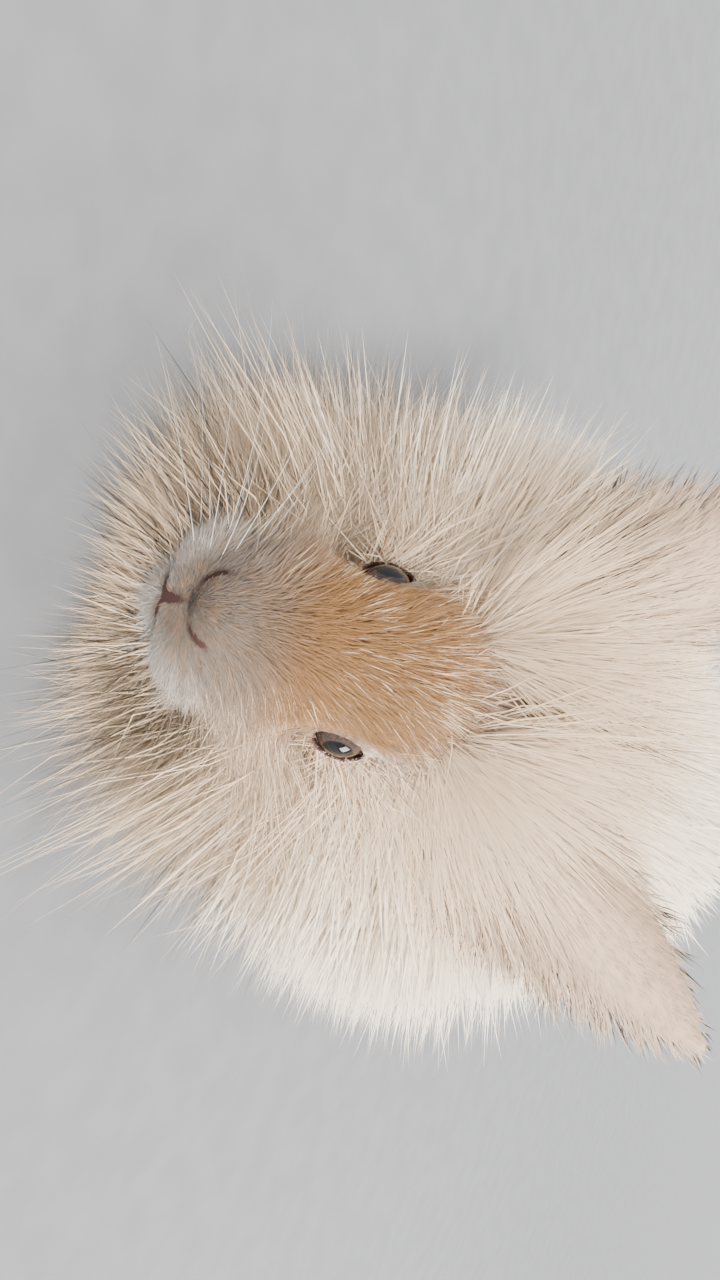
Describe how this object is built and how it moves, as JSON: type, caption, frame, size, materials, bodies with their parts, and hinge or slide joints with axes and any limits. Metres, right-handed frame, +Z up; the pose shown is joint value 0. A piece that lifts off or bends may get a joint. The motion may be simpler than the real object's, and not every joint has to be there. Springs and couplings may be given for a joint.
{
  "type": "english angora rabbit",
  "caption": "Life-size still model of an English Angora rabbit lying low on its belly, long wool spread over the floor and ears raised.",
  "frame": {"origin": "middle of the overall box, on the floor that the rabbit lies on", "axes": "-Y where the rabbit faces, +X its left side, +Z up"},
  "size_m": [0.198, 0.39, 0.1699],
  "materials": {
    "body_wool": "long soft cream and fawn wool, matt",
    "ruff_wool": "long cream wool with fawn tips, matt",
    "head_wool": "short golden fawn face fur in long cream wool, matt",
    "ear_fur": "short fawn fur with a cream fringe, matt",
    "leg_fur": "short dense cream fur, matt",
    "eye": "wet gloss, grey brown iris round a dark pupil"
  },
  "bodies": {
    "root": {"torso": "body_wool", "neck": "ruff_wool", "head": "head_wool", "ear_left": "ear_fur", "ear_right": "ear_fur", "eye_left": "eye", "eye_right": "eye", "foreleg_left": "leg_fur", "foreleg_right": "leg_fur", "hindleg_left": "leg_fur", "hindleg_right": "leg_fur", "tail": "body_wool"}
  },
  "joints": []
}
